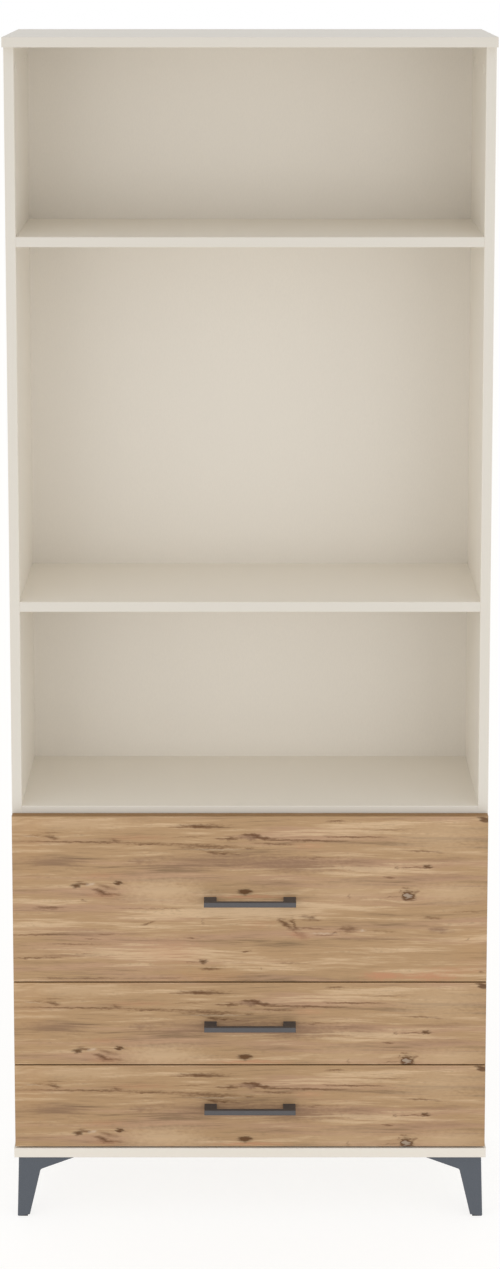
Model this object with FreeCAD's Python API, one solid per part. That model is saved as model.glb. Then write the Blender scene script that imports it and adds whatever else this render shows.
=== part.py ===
import FreeCAD, Part
import math
import os

from FreeCAD import Vector

# Bookcase with three open compartments over three drawers.
# Millimetres. X to the right, Y to the rear, Z up. The origin is on the floor, under the middle
# of the whole piece, its handles included. The drawers face -Y.

# Overall size
WIDTH = 770.0               # top and bottom panels
DEPTH = 300.0               # drawer faces to the rear edge
HEIGHT = 1930.0
LEG_HEIGHT = 104.0
HANDLE_PROJECTION = 26.0    # handles stand out from the drawer faces

# Boards
BOARD = 16.0                # laminated particle board
SIDE_INSET = 1.0            # the sides stand in from the ends of the top and bottom panels
HARDBOARD = 3.0             # back panel and drawer floors
GROOVE_DEPTH = 8.0
GROOVE_PLAY = 0.3
BACK_INSET = 22.5           # rear edge of the sides to the rear face of the back panel
EDGE_RADIUS = 0.8           # rounded edge banding

# Heights of the upper faces of the fixed boards
DECK_TOP = 692.0
MIDDLE_SHELF_TOP = 1029.0
UPPER_SHELF_TOP = 1616.0

# Drawers, from the lowest up
FRONT_HEIGHTS = (138.5, 138.5, 277.0)
FRONT_GAP = 2.0             # between two fronts
LOWEST_FRONT_LIFT = 3.0     # over the bottom panel
FRONT_INSET = 2.0           # ends of the fronts, in from the ends of the bottom panel
FRONT_PLAY = 2.5            # fronts to the front edges of the sides
BOX_HEIGHTS = (100.0, 100.0, 180.0)
BOX_LENGTH = 254.0
BOX_BOARD = 12.0
BOX_LIFT = 12.0             # lower edge of a box over the lower edge of its front
FLOOR_LIFT = 10.0           # drawer floor over the lower edge of its box
FLOOR_GROOVE = 6.0
DRAWER_TRAVEL = 180.0

# Ball-bearing rails, one each side of a drawer
RAIL_LENGTH = 250.0
RAIL_WIDTH = 13.0           # side panel to drawer box
RAIL_SETBACK = 2.0          # behind the front edge of the side panel
RAIL_RISE = 34.0            # centre line over the lower edge of the box
RAIL_STEEL = 1.2
BALL_RADIUS = 2.2
BALL_PLAY = 0.3             # ball to each raceway
BALL_HEIGHT = 13.8          # ball centres above and below the centre line of the rail
CAGE_LENGTH = 66.0
CAGE_STEEL = 0.6
CAGE_PLAY = 0.6             # cage to the web of the outer member
BALLS_PER_ROW = 7
POCKET_INSET = 6.6          # centres of the end pockets from the ends of the cage
POCKET_PLAY = 0.1

# Bridge handles, screwed on at the usual 128 mm
HANDLE_HOLES = 128.0
HANDLE_POST = 20.0
HANDLE_HEIGHT = 8.0
HANDLE_BAR = 7.0
HANDLE_EDGE = 0.6
HANDLE_GAP_RADIUS = 2.0     # inside corners of the finger gap

# Corner legs, folded from sheet steel with their corner leaning outwards
LEG_STEEL = 2.5
FOLD_RADIUS = 3.0           # outside of the fold between the two wings
LEG_INSET = 6.7             # corner of the leg, in from the edges of the bottom panel
LEG_FLARE = 2.8             # how far the corner leans out from top to foot
WING_LENGTH = 98.4          # along the bottom panel
WING_ELBOW = 35.6           # width at the elbow
ELBOW_DROP = 23.0           # elbow under the bottom panel
ELBOW_RADIUS = 5.0
FOOT_WIDTH = 19.3
FOOT_RISE = 3.0             # the foot's edge climbs towards its inner end
FOOT_CLEARANCE = 1.0        # steel to the floor
TRIM = 8.0                  # spare length that the foot's trim takes off
LEG_PLATE = 62.0            # plate under the bottom panel, along each wing
GLIDE_SIZE = 14.0
GLIDE_HEIGHT = 12.0

# Fittings: radius and length
DOWEL = (4.0, 30.0)
DOWEL_IN_FACE = 12.0        # the rest of the dowel stands in the end of the other board
CAM = (7.5, 12.5)
CAM_SETBACK = 34.0          # centre of the cam from the end of its board
BOLT_THREAD = (2.5, 11.0)
BOLT_SHANK = (3.5, 32.0)
SMALL_CAM = (6.0, 9.5)
SMALL_CAM_SETBACK = 24.0
SMALL_BOLT_SHANK = (3.0, 22.0)
PAN_HEAD = (4.0, 2.2)
FLAT_HEAD = (3.5, 0.5)
LEG_SCREW = (2.0, 12.0)
RAIL_SCREW = (2.5, 10.0)
CORNER_SCREW = (2.0, 34.0)
HANDLE_SCREW = (2.0, 26.0)
BORE_PLAY = 0.1

# Derived places
REAR = (DEPTH + HANDLE_PROJECTION) / 2
FACE = REAR - DEPTH
FRONT_REAR = FACE + BOARD
CARCASS_FRONT = FRONT_REAR + FRONT_PLAY
BACK_FACE = REAR - BACK_INSET - HARDBOARD
PANEL_BOTTOM = LEG_HEIGHT
PANEL_TOP = LEG_HEIGHT + BOARD
TOP_UNDERSIDE = HEIGHT - BOARD
SIDE_OUTER = WIDTH / 2 - SIDE_INSET
SIDE_INNER = SIDE_OUTER - BOARD
BOX_OUTER = SIDE_INNER - RAIL_WIDTH
BOX_INNER = BOX_OUTER - BOX_BOARD
BOX_REAR = FRONT_REAR + BOX_LENGTH
RAIL_FRONT = CARCASS_FRONT + RAIL_SETBACK
LEG_LEAN = math.atan(LEG_FLARE / LEG_HEIGHT)
RACEWAY = BALL_RADIUS + BALL_PLAY + RAIL_STEEL / 2
BALL_OUT = RAIL_STEEL / 2 + RACEWAY
SIDES = ((-1, "left"), (1, "right"))

X = Vector(1, 0, 0)
Y = Vector(0, 1, 0)
Z = Vector(0, 0, 1)


def box(x0, x1, y0, y1, z0, z1):
    """A block between two corners, given in any order along each axis."""
    low = Vector(min(x0, x1), min(y0, y1), min(z0, z1))
    return Part.makeBox(abs(x1 - x0), abs(y1 - y0), abs(z1 - z0), low)


def pin(radius, length, start, direction):
    return Part.makeCylinder(radius, length, start, direction)


def cut_all(shape, tools):
    return shape.cut(Part.makeCompound(tools)) if tools else shape


def export(name, shapes):
    """Writes one node: a single solid, or a group of like solids."""
    group = shapes if isinstance(shapes, list) else [shapes]
    shape = group[0] if len(group) == 1 else Part.makeCompound(group)
    for solid in shape.Solids:
        if not solid.isValid():
            raise ValueError(name + " holds an invalid solid")
    shape.exportStep(os.path.join("parts", name + ".step"))
    return shape


def banded(board, edges_at):
    """Rounds the long edges of a board that lie on the line or face that edges_at picks."""
    edges = [e for e in board.Edges if edges_at(e)]
    return board.makeFillet(EDGE_RADIUS, edges)


def long_front_edges(board, front):
    """The two long edges of a board along its front face."""
    span = max(board.BoundBox.XLength, board.BoundBox.ZLength)
    return banded(board, lambda e: abs(e.CenterOfMass.y - front) < 0.01 and e.Length > 0.9 * span)


# Carcass fittings -------------------------------------------------------------------------------

# Front-to-rear places of the two cam fittings and the dowel between them, at each board end
FITTING_Y = (CARCASS_FRONT + 45.0, BACK_FACE - 45.0)
DOWEL_Y = (CARCASS_FRONT + BACK_FACE) / 2
SHELF_TOPS = (DECK_TOP, MIDDLE_SHELF_TOP, UPPER_SHELF_TOP)


def joint_lines():
    """Every fitting line of the carcass: (kind, start on the joint face, direction into the board
    that holds the cam, direction of the cam's mouth)."""
    lines = []
    for side, _ in SIDES:
        inward = X * -side
        for top in SHELF_TOPS:
            for y in FITTING_Y:
                lines.append(("cam", Vector(side * SIDE_INNER, y, top - BOARD / 2), inward, Z * -1))
            lines.append(("dowel", Vector(side * SIDE_INNER, DOWEL_Y, top - BOARD / 2), inward, None))
        middle = side * (SIDE_INNER + BOARD / 2)
        for z, along in ((PANEL_TOP, Z), (TOP_UNDERSIDE, Z * -1)):
            for y in FITTING_Y:
                lines.append(("cam", Vector(middle, y, z), along, inward))
            lines.append(("dowel", Vector(middle, DOWEL_Y, z), along, None))
    return lines


def cam_disc(line, cam, setback, play=0.0):
    """The round cam, flush with the face that its mouth opens through."""
    _, start, along, mouth = line
    face = start + along * setback + mouth * (BOARD / 2)
    return pin(cam[0] + play, cam[1] + play, face, mouth * -1)


def carcass_bores(lines):
    """Everything drilled for the carcass fittings."""
    tools = []
    for line in lines:
        kind, start, along, _ = line
        if kind == "dowel":
            low = start - along * (DOWEL_IN_FACE + BORE_PLAY)
            tools.append(pin(DOWEL[0] + BORE_PLAY, DOWEL[1] + 2 * BORE_PLAY, low, along))
        else:
            tools.append(cam_disc(line, CAM, CAM_SETBACK, BORE_PLAY))
            tools.append(pin(BOLT_SHANK[0] + BORE_PLAY, BOLT_SHANK[1], start, along))
            tools.append(pin(BOLT_THREAD[0] + BORE_PLAY, BOLT_THREAD[1] + BORE_PLAY, start, along * -1))
    return tools


def cam_bolt(start, along, shank, reach):
    """Thread in one board and a smooth shank that runs to the rim of the cam in the other."""
    thread = pin(BOLT_THREAD[0], BOLT_THREAD[1], start, along * -1)
    return thread.fuse(pin(shank[0], reach, start, along)).removeSplitter()


def make_fittings(lines):
    dowels = []
    cams = []
    bolts = []
    reach = CAM_SETBACK - CAM[0] - BORE_PLAY
    for line in lines:
        kind, start, along, _ = line
        if kind == "dowel":
            dowels.append(pin(DOWEL[0], DOWEL[1], start - along * DOWEL_IN_FACE, along))
        else:
            cams.append(cam_disc(line, CAM, CAM_SETBACK))
            bolts.append(cam_bolt(start, along, BOLT_SHANK, reach))
    export("dowels", dowels)
    export("cam_locks", cams)
    export("cam_bolts", bolts)


# Carcass boards ---------------------------------------------------------------------------------


def back_groove():
    """The ring of groove that holds the back panel in the sides, the top and the bottom."""
    half = SIDE_INNER + GROOVE_DEPTH
    rear = BACK_FACE + HARDBOARD + GROOVE_PLAY
    return box(-half, half, BACK_FACE, rear, PANEL_TOP - GROOVE_DEPTH, TOP_UNDERSIDE + GROOVE_DEPTH)


def make_side(side, name, bores):
    board = box(side * SIDE_INNER, side * SIDE_OUTER, CARCASS_FRONT, REAR, PANEL_TOP, TOP_UNDERSIDE)
    board = long_front_edges(board, CARCASS_FRONT)
    return export(name + "_side", cut_all(board, [back_groove()] + bores))


def make_end_panel(name, bottom, bores):
    """The top or the bottom panel: it covers the ends of both sides."""
    board = box(-WIDTH / 2, WIDTH / 2, FACE, REAR, bottom, bottom + BOARD)
    rim = bottom + BOARD if bottom > DECK_TOP else bottom
    board = banded(board, lambda e: abs(e.CenterOfMass.y - FACE) < 0.01
                   or abs(e.CenterOfMass.z - rim) < 0.01 and e.CenterOfMass.y < REAR - 1)
    return export(name, cut_all(board, [back_groove()] + bores))


def make_shelf(name, top, bores):
    """A fixed board between the sides, against the back panel."""
    board = box(-SIDE_INNER, SIDE_INNER, CARCASS_FRONT, BACK_FACE, top - BOARD, top)
    return export(name, cut_all(long_front_edges(board, CARCASS_FRONT), bores))


def make_back():
    half = SIDE_INNER + GROOVE_DEPTH - GROOVE_PLAY
    low = PANEL_TOP - GROOVE_DEPTH + GROOVE_PLAY
    high = TOP_UNDERSIDE + GROOVE_DEPTH - GROOVE_PLAY
    return export("back_panel", box(-half, half, BACK_FACE, BACK_FACE + HARDBOARD, low, high))


# Legs -------------------------------------------------------------------------------------------


def rounded_polygon(points, corner, radius):
    """Edges of a polygon with the one corner of that index rounded by a tangent arc."""
    before = points[corner - 1]
    tip = points[corner]
    after = points[(corner + 1) % len(points)]
    to_before = (before - tip).normalize()
    to_after = (after - tip).normalize()
    half = to_before.getAngle(to_after) / 2
    reach = radius / math.tan(half)
    inward = (to_before + to_after).normalize()
    crown = tip + inward * (radius / math.sin(half) - radius)
    start = tip + to_before * reach
    end = tip + to_after * reach
    edges = [Part.Arc(start, crown, end).toShape()]
    rest = [end] + points[corner + 1:] + points[:corner] + [start]
    edges += [Part.makeLine(a, b) for a, b in zip(rest, rest[1:])]
    return edges


def leg_wing():
    """One wing of a leg whose corner stands at the origin, on the underside of the bottom panel.

    The outline is drawn as seen from the front, with the corner's edge leaning out by the flare,
    and lies in a plane that leans forward by the same amount. It runs on below the floor, where
    the foot is trimmed."""
    foot = -LEG_HEIGHT
    low = foot - TRIM
    taper = (WING_ELBOW + LEG_FLARE - FOOT_WIDTH) / (-ELBOW_DROP - foot)

    def at(u, z):
        return Vector(u, LEG_FLARE * z / LEG_HEIGHT, z)

    points = [
        at(0, 0),
        at(WING_LENGTH, 0),
        at(WING_ELBOW, -ELBOW_DROP),
        at(FOOT_WIDTH - LEG_FLARE - taper * TRIM, low),
        at(LEG_FLARE * low / LEG_HEIGHT, low),
    ]
    face = Part.Face(Part.Wire(Part.__sortEdges__(rounded_polygon(points, 2, ELBOW_RADIUS))))
    return face.extrude(Vector(0, LEG_STEEL / math.cos(LEG_LEAN), 0))


def foot_trim():
    """Everything under the plane that trims the foot, which climbs inwards from the corner."""
    climb = 2 * FOOT_RISE / FOOT_WIDTH
    corner = Vector(-LEG_FLARE, -LEG_FLARE, FOOT_CLEARANCE - LEG_HEIGHT)
    across = Vector(1, -1, 0) * WING_ELBOW
    inward = Vector(1, 1, climb) * WING_ELBOW
    outline = [corner - across - inward, corner + across - inward,
               corner + across + inward, corner - across + inward]
    face = Part.Face(Part.makePolygon(outline + outline[:1]))
    return face.extrude(Z * -LEG_HEIGHT)


def is_fold(edge):
    """True for the leaning outer edge where the two wings of a leg meet."""
    middle = edge.CenterOfMass
    return middle.x < 0 and abs(middle.x - middle.y) < 0.01 and edge.Length > LEG_HEIGHT / 2


def leg_plate():
    """Plate folded in under the bottom panel, its free corner cut away."""
    size = LEG_PLATE
    near = FOLD_RADIUS
    outline = [(near, 0), (size, 0), (size, size / 4), (size / 4, size), (0, size), (0, near), (near, 0)]
    face = Part.Face(Part.makePolygon([Vector(x, y, 0) for x, y in outline]))
    return face.extrude(Vector(0, 0, -LEG_STEEL))


LEG_SCREW_SPOTS = ((12.0, 12.0), (48.0, 12.0), (12.0, 48.0))


def leg_corners():
    """(name, placement) of each leg; a leg is drawn for the front left corner and mirrored."""
    for front, y_sign in (("front", 1), ("rear", -1)):
        for side, name in SIDES:
            yield front + "_" + name, side, y_sign


def to_corner(shape, side, y_sign):
    """Moves a shape drawn at the front left corner of the bottom panel to another corner."""
    corner = Vector(-WIDTH / 2 + LEG_INSET, FACE + LEG_INSET, PANEL_BOTTOM)
    placed = shape.copy()
    placed.translate(corner)
    if side > 0:
        placed = placed.mirror(Vector(0, 0, 0), X)
    if y_sign < 0:
        placed = placed.mirror(Vector(0, (FACE + REAR) / 2, 0), Y)
    return placed


def make_legs():
    front_wing = leg_wing()
    side_wing = front_wing.mirror(Vector(0, 0, 0), Vector(1, -1, 0))
    wings = front_wing.fuse(side_wing).removeSplitter()
    wings = wings.makeFillet(FOLD_RADIUS, [e for e in wings.Edges if is_fold(e)])
    leg = wings.cut(foot_trim()).fuse(leg_plate()).removeSplitter()
    holes = [pin(LEG_SCREW[0] + BORE_PLAY, LEG_STEEL, Vector(x, y, 0), Z * -1) for x, y in LEG_SCREW_SPOTS]
    leg = cut_all(leg, holes)
    glide = leg_glide()
    screws = [leg_screw(x, y) for x, y in LEG_SCREW_SPOTS]
    glides = []
    all_screws = []
    for name, side, y_sign in leg_corners():
        export("leg_" + name, to_corner(leg, side, y_sign))
        glides.append(to_corner(glide, side, y_sign))
        all_screws += [to_corner(s, side, y_sign) for s in screws]
    export("leg_glides", glides)
    export("leg_screws", all_screws)


def leg_glide():
    """Plastic glide in the fold of the foot, leaning with it, with its flat underside on the floor."""
    low = -LEG_HEIGHT
    a = LEG_STEEL / math.cos(LEG_LEAN) - LEG_FLARE
    b = a + GLIDE_SIZE
    outline = [(a, a), (b, a), (b, a + GLIDE_SIZE / 2), (a + GLIDE_SIZE / 2, b), (a, b), (a, a)]
    face = Part.Face(Part.makePolygon([Vector(x, y, low) for x, y in outline]))
    lean = LEG_FLARE * GLIDE_HEIGHT / LEG_HEIGHT
    return face.extrude(Vector(lean, lean, GLIDE_HEIGHT))


def leg_screw(x, y):
    """Pan-head screw up through the plate into the bottom panel."""
    start = Vector(x, y, -LEG_STEEL)
    head = pin(PAN_HEAD[0], PAN_HEAD[1], start, Z * -1)
    shank = pin(LEG_SCREW[0], LEG_SCREW[1] + LEG_STEEL, start, Z)
    return head.fuse(shank).removeSplitter()


def leg_screw_bores():
    bores = []
    for _, side, y_sign in leg_corners():
        for x, y in LEG_SCREW_SPOTS:
            bore = pin(LEG_SCREW[0] + BORE_PLAY, LEG_SCREW[1] + BORE_PLAY, Vector(x, y, 0), Z)
            bores.append(to_corner(bore, side, y_sign))
    return bores


# Rails ------------------------------------------------------------------------------------------


def walk(point, heading, moves):
    """Follows runs (length, 0) and bends (radius, angle) in degrees, left positive; gives the
    start, middle and end of each move as (point, heading)."""
    steps = []
    for size, angle in moves:
        frames = []
        for part in (0.0, 0.5, 1.0):
            if angle == 0:
                step = Vector(math.cos(heading), math.sin(heading), 0) * (size * part)
                frames.append((point + step, heading))
            else:
                turn = math.radians(angle) * part
                side = math.copysign(1, angle)
                centre = point + Vector(-math.sin(heading), math.cos(heading), 0) * (size * side)
                spoke = point - centre
                turned = Vector(
                    spoke.x * math.cos(turn) - spoke.y * math.sin(turn),
                    spoke.x * math.sin(turn) + spoke.y * math.cos(turn), 0)
                frames.append((centre + turned, heading + turn))
        steps.append((frames, angle))
        point, heading = frames[2]
    return steps, point, heading


def folded_strip(half_moves, web, thickness, place, length):
    """A sheet-metal channel: the moves run from the middle of its web to one lip, and are mirrored
    for the other. place turns a point of the section into a point in space."""
    _, lip, heading = walk(Vector(web, 0, 0), math.pi / 2, half_moves)
    start = Vector(lip.x, -lip.y, 0)
    steps, _, _ = walk(start, math.pi - heading, list(reversed(half_moves)) + half_moves)
    edges = []
    ends = []
    for offset in (thickness / 2, -thickness / 2):
        rim = []
        for frames, angle in steps:
            spots = [place(p + Vector(-math.sin(h), math.cos(h), 0) * offset) for p, h in frames]
            rim.append(spots)
            if angle == 0:
                edges.append(Part.makeLine(spots[0], spots[2]))
            else:
                edges.append(Part.Arc(spots[0], spots[1], spots[2]).toShape())
        ends.append((rim[0][0], rim[-1][2]))
    edges.append(Part.makeLine(ends[0][0], ends[1][0]))
    edges.append(Part.makeLine(ends[0][1], ends[1][1]))
    face = Part.Face(Part.Wire(Part.__sortEdges__(edges)))
    return face.extrude(Y * length)


def rail_place(side, y, z):
    """Section coordinates: first away from the side panel, then up from the rail's centre line."""
    return lambda p: Vector(side * (SIDE_INNER - p.x), y, z + p.y)


def outer_member(side, z):
    """Member on the side panel: its corners curl round the balls."""
    moves = [(BALL_HEIGHT, 0), (RACEWAY, -155)]
    shape = folded_strip(moves, RAIL_STEEL / 2, RAIL_STEEL, rail_place(side, RAIL_FRONT, z), RAIL_LENGTH)
    return cut_all(shape, [rail_screw_hole(side, y, z, 0) for y in RAIL_SCREW_Y])


def inner_member(side, z):
    """Member on the drawer: its lips dip under the balls."""
    corner = 1.5
    crook = 1.2
    dip = 60.0
    drop = (RACEWAY + crook) * (1 - math.cos(math.radians(dip)))
    flange = BALL_HEIGHT - RACEWAY + drop
    reach = RAIL_WIDTH - RAIL_STEEL / 2 - corner - BALL_OUT - (RACEWAY + crook) * math.sin(math.radians(dip))
    moves = [(flange - corner, 0), (corner, 90), (reach, 0), (crook, dip), (RACEWAY, -dip)]
    web = RAIL_WIDTH - RAIL_STEEL / 2
    shape = folded_strip(moves, web, RAIL_STEEL, rail_place(side, RAIL_FRONT, z), RAIL_LENGTH)
    return cut_all(shape, [rail_screw_hole(side, y, z, 1) for y in RAIL_SCREW_Y])


def ball_pockets(side, z, start):
    """Round pockets, open at the lip, for the two rows of balls of a cage that starts at y start."""
    pitch = (CAGE_LENGTH - 2 * POCKET_INSET) / (BALLS_PER_ROW - 1)
    x = side * (SIDE_INNER - BALL_OUT)
    pockets = []
    for row in (-BALL_HEIGHT, BALL_HEIGHT):
        for i in range(BALLS_PER_ROW):
            centre = Vector(x, start + POCKET_INSET + pitch * i, z + row)
            pockets.append(Part.makeSphere(BALL_RADIUS + POCKET_PLAY, centre))
    return pockets


def ball_cage(side, z):
    """Retainer between the members: its lips point at the balls, which sit in their pockets."""
    web = RAIL_STEEL + CAGE_PLAY + CAGE_STEEL / 2
    bend = 1.0
    lean = 48.0
    turn = math.radians(lean)
    rise = (BALL_OUT - web - bend * (1 - math.cos(turn))) / math.sin(turn)
    straight = BALL_HEIGHT - rise * math.cos(turn) - bend * math.sin(turn)
    moves = [(straight, 0), (bend, -lean), (rise + BALL_RADIUS * 0.75, 0)]
    start = RAIL_FRONT + (RAIL_LENGTH - CAGE_LENGTH) / 2
    strip = folded_strip(moves, web, CAGE_STEEL, rail_place(side, start, z), CAGE_LENGTH)
    return cut_all(strip, ball_pockets(side, z, start))


RAIL_SCREW_Y = (RAIL_FRONT + 35.0, RAIL_FRONT + RAIL_LENGTH - 28.0)


def rail_screw(side, y, z, member):
    """Flat-head screw through the web of a member, into the side panel (0) or the drawer (1)."""
    web = side * (SIDE_INNER - RAIL_STEEL) if member == 0 else side * (BOX_OUTER + RAIL_STEEL)
    inward = X * side if member == 0 else X * -side
    start = Vector(web, y, z)
    head = pin(FLAT_HEAD[0], FLAT_HEAD[1], start, inward * -1)
    return head.fuse(pin(RAIL_SCREW[0], RAIL_SCREW[1], start, inward)).removeSplitter()


def rail_screw_hole(side, y, z, member):
    start = SIDE_INNER - RAIL_STEEL if member == 0 else BOX_OUTER + RAIL_STEEL
    inward = X * side if member == 0 else X * -side
    return pin(RAIL_SCREW[0] + BORE_PLAY, RAIL_SCREW[1] + BORE_PLAY, Vector(side * start, y, z), inward)


# Drawers ----------------------------------------------------------------------------------------


class Drawer:
    """Heights of one drawer, counted from the lowest (index 0) upwards."""

    def __init__(self, index):
        self.name = "drawer_%d" % (len(FRONT_HEIGHTS) - index)
        below = sum(FRONT_HEIGHTS[:index]) + FRONT_GAP * index
        self.front_low = PANEL_TOP + LOWEST_FRONT_LIFT + below
        self.front_high = self.front_low + FRONT_HEIGHTS[index]
        self.centre = (self.front_low + self.front_high) / 2
        self.low = self.front_low + BOX_LIFT
        self.high = self.low + BOX_HEIGHTS[index]
        self.rail = self.low + RAIL_RISE
        self.floor = self.low + FLOOR_LIFT
        self.fitting_z = (self.low + 30.0, self.high - 22.0)


def drawer_floor_groove(d):
    top = d.floor + HARDBOARD + GROOVE_PLAY
    half = BOX_INNER + FLOOR_GROOVE
    rear = BOX_REAR - BOX_BOARD + FLOOR_GROOVE
    return box(-half, half, FRONT_REAR - FLOOR_GROOVE, rear, d.floor, top)


def drawer_cam_lines(d):
    """(start on the rear face of the front, along, mouth) of each fitting of a drawer's front."""
    lines = []
    for side, _ in SIDES:
        for z in d.fitting_z:
            start = Vector(side * (BOX_OUTER - BOX_BOARD / 2), FRONT_REAR, z)
            lines.append((start, Y, X * -side))
    return lines


def drawer_cam(line, play=0.0):
    start, along, mouth = line
    face = start + along * SMALL_CAM_SETBACK + mouth * (BOX_BOARD / 2)
    return pin(SMALL_CAM[0] + play, SMALL_CAM[1] + play, face, mouth * -1)


def drawer_bores(d):
    tools = []
    for line in drawer_cam_lines(d):
        start, along, _ = line
        tools.append(drawer_cam(line, BORE_PLAY))
        tools.append(pin(SMALL_BOLT_SHANK[0] + BORE_PLAY, SMALL_BOLT_SHANK[1], start, along))
        tools.append(pin(BOLT_THREAD[0] + BORE_PLAY, BOLT_THREAD[1] + BORE_PLAY, start, along * -1))
    for side, _ in SIDES:
        for z in d.fitting_z:
            start = Vector(side * BOX_OUTER, BOX_REAR - BOX_BOARD / 2, z)
            tools.append(pin(CORNER_SCREW[0] + BORE_PLAY, CORNER_SCREW[1] + BORE_PLAY, start, X * -side))
        for y in RAIL_SCREW_Y:
            tools.append(rail_screw_hole(side, y, d.rail, 1))
    return tools


def handle_screw(x, z, play=0.0):
    return pin(HANDLE_SCREW[0] + play, HANDLE_SCREW[1] + play, Vector(x, FRONT_REAR, z), Y * -1)


def make_front(d, bores):
    half = WIDTH / 2 - FRONT_INSET
    board = box(-half, half, FACE, FRONT_REAR, d.front_low, d.front_high)
    board = banded(board, lambda e: abs(e.CenterOfMass.y - FACE) < 0.01)
    holes = [handle_screw(side * HANDLE_HOLES / 2, d.centre, BORE_PLAY) for side, _ in SIDES]
    return export(d.name + "_front", cut_all(board, [drawer_floor_groove(d)] + bores + holes))


def make_box(d, bores):
    """Two walls, a rear wall between them and a floor in their grooves."""
    groove = drawer_floor_groove(d)
    for side, name in SIDES:
        wall = box(side * BOX_OUTER, side * BOX_INNER, FRONT_REAR, BOX_REAR, d.low, d.high)
        export(d.name + "_" + name + "_wall", cut_all(wall, [groove] + bores))
    rear = box(-BOX_INNER, BOX_INNER, BOX_REAR - BOX_BOARD, BOX_REAR, d.low, d.high)
    export(d.name + "_rear_wall", cut_all(rear, [groove] + bores))
    reach = FLOOR_GROOVE - GROOVE_PLAY
    half = BOX_INNER + reach
    rear_edge = BOX_REAR - BOX_BOARD + reach
    floor = box(-half, half, FRONT_REAR - reach, rear_edge, d.floor, d.floor + HARDBOARD)
    export(d.name + "_floor", floor)


def make_drawer_fittings(d):
    cams = []
    reach = SMALL_CAM_SETBACK - SMALL_CAM[0] - BORE_PLAY
    for line in drawer_cam_lines(d):
        cams.append(drawer_cam(line))
        cams.append(cam_bolt(line[0], line[1], SMALL_BOLT_SHANK, reach))
    export(d.name + "_cam_fittings", cams)
    screws = []
    for side, _ in SIDES:
        for z in d.fitting_z:
            start = Vector(side * BOX_OUTER, BOX_REAR - BOX_BOARD / 2, z)
            screws.append(pin(CORNER_SCREW[0], CORNER_SCREW[1], start, X * -side))
        screws += [rail_screw(side, y, d.rail, 1) for y in RAIL_SCREW_Y]
    export(d.name + "_screws", screws)


def make_handle(d):
    """Flat bar on two posts, milled from one piece: a rectangle less the finger gap."""
    half = (HANDLE_HOLES + HANDLE_POST) / 2
    outer = FACE - HANDLE_PROJECTION
    low = d.centre - HANDLE_HEIGHT / 2
    high = low + HANDLE_HEIGHT
    blank = box(-half, half, outer, FACE, low, high)
    blank = blank.makeChamfer(HANDLE_EDGE, [e for e in blank.Edges if e.CenterOfMass.y < outer + 0.01])
    gap = box(-half + HANDLE_POST, half - HANDLE_POST, outer + HANDLE_BAR, FACE + 1, low - 1, high + 1)
    corners = [e for e in gap.Edges
               if abs(e.CenterOfMass.y - outer - HANDLE_BAR) < 0.01 and e.Length < HANDLE_POST]
    gap = gap.makeFillet(HANDLE_GAP_RADIUS, corners)
    screws = [handle_screw(side * HANDLE_HOLES / 2, d.centre, BORE_PLAY) for side, _ in SIDES]
    export(d.name + "_handle", cut_all(blank, [gap] + screws))
    heads = []
    for side, _ in SIDES:
        x = side * HANDLE_HOLES / 2
        head = pin(PAN_HEAD[0], PAN_HEAD[1], Vector(x, FRONT_REAR, d.centre), Y)
        heads.append(head.fuse(handle_screw(x, d.centre)).removeSplitter())
    export(d.name + "_handle_screws", heads)


def make_rails(d):
    cages = []
    for side, name in SIDES:
        export(d.name + "_" + name + "_outer_rail", outer_member(side, d.rail))
        export(d.name + "_" + name + "_inner_rail", inner_member(side, d.rail))
        cages.append(ball_cage(side, d.rail))
    export(d.name + "_ball_cages", cages)


def main():
    os.makedirs("parts", exist_ok=True)
    drawers = [Drawer(index) for index in range(len(FRONT_HEIGHTS))]
    lines = joint_lines()
    bores = carcass_bores(lines)
    rail_bores = []
    rail_screws = []
    for d in drawers:
        for side, _ in SIDES:
            for y in RAIL_SCREW_Y:
                rail_bores.append(rail_screw_hole(side, y, d.rail, 0))
                rail_screws.append(rail_screw(side, y, d.rail, 0))
    for side, name in SIDES:
        make_side(side, name, bores + rail_bores)
    make_end_panel("bottom_panel", PANEL_BOTTOM, bores + leg_screw_bores())
    make_end_panel("top_panel", TOP_UNDERSIDE, bores)
    make_shelf("drawer_deck", DECK_TOP, bores)
    make_shelf("middle_shelf", MIDDLE_SHELF_TOP, bores)
    make_shelf("upper_shelf", UPPER_SHELF_TOP, bores)
    make_back()
    make_fittings(lines)
    make_legs()
    export("rail_screws", rail_screws)
    for d in drawers:
        own_bores = drawer_bores(d)
        make_front(d, own_bores)
        make_box(d, own_bores)
        make_drawer_fittings(d)
        make_handle(d)
        make_rails(d)


main()
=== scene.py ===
"""Looks of a bookcase with three bottom drawers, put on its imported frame.

Metres, X to the right, Y to the rear, Z up; the drawers face -Y.
"""

import math

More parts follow.
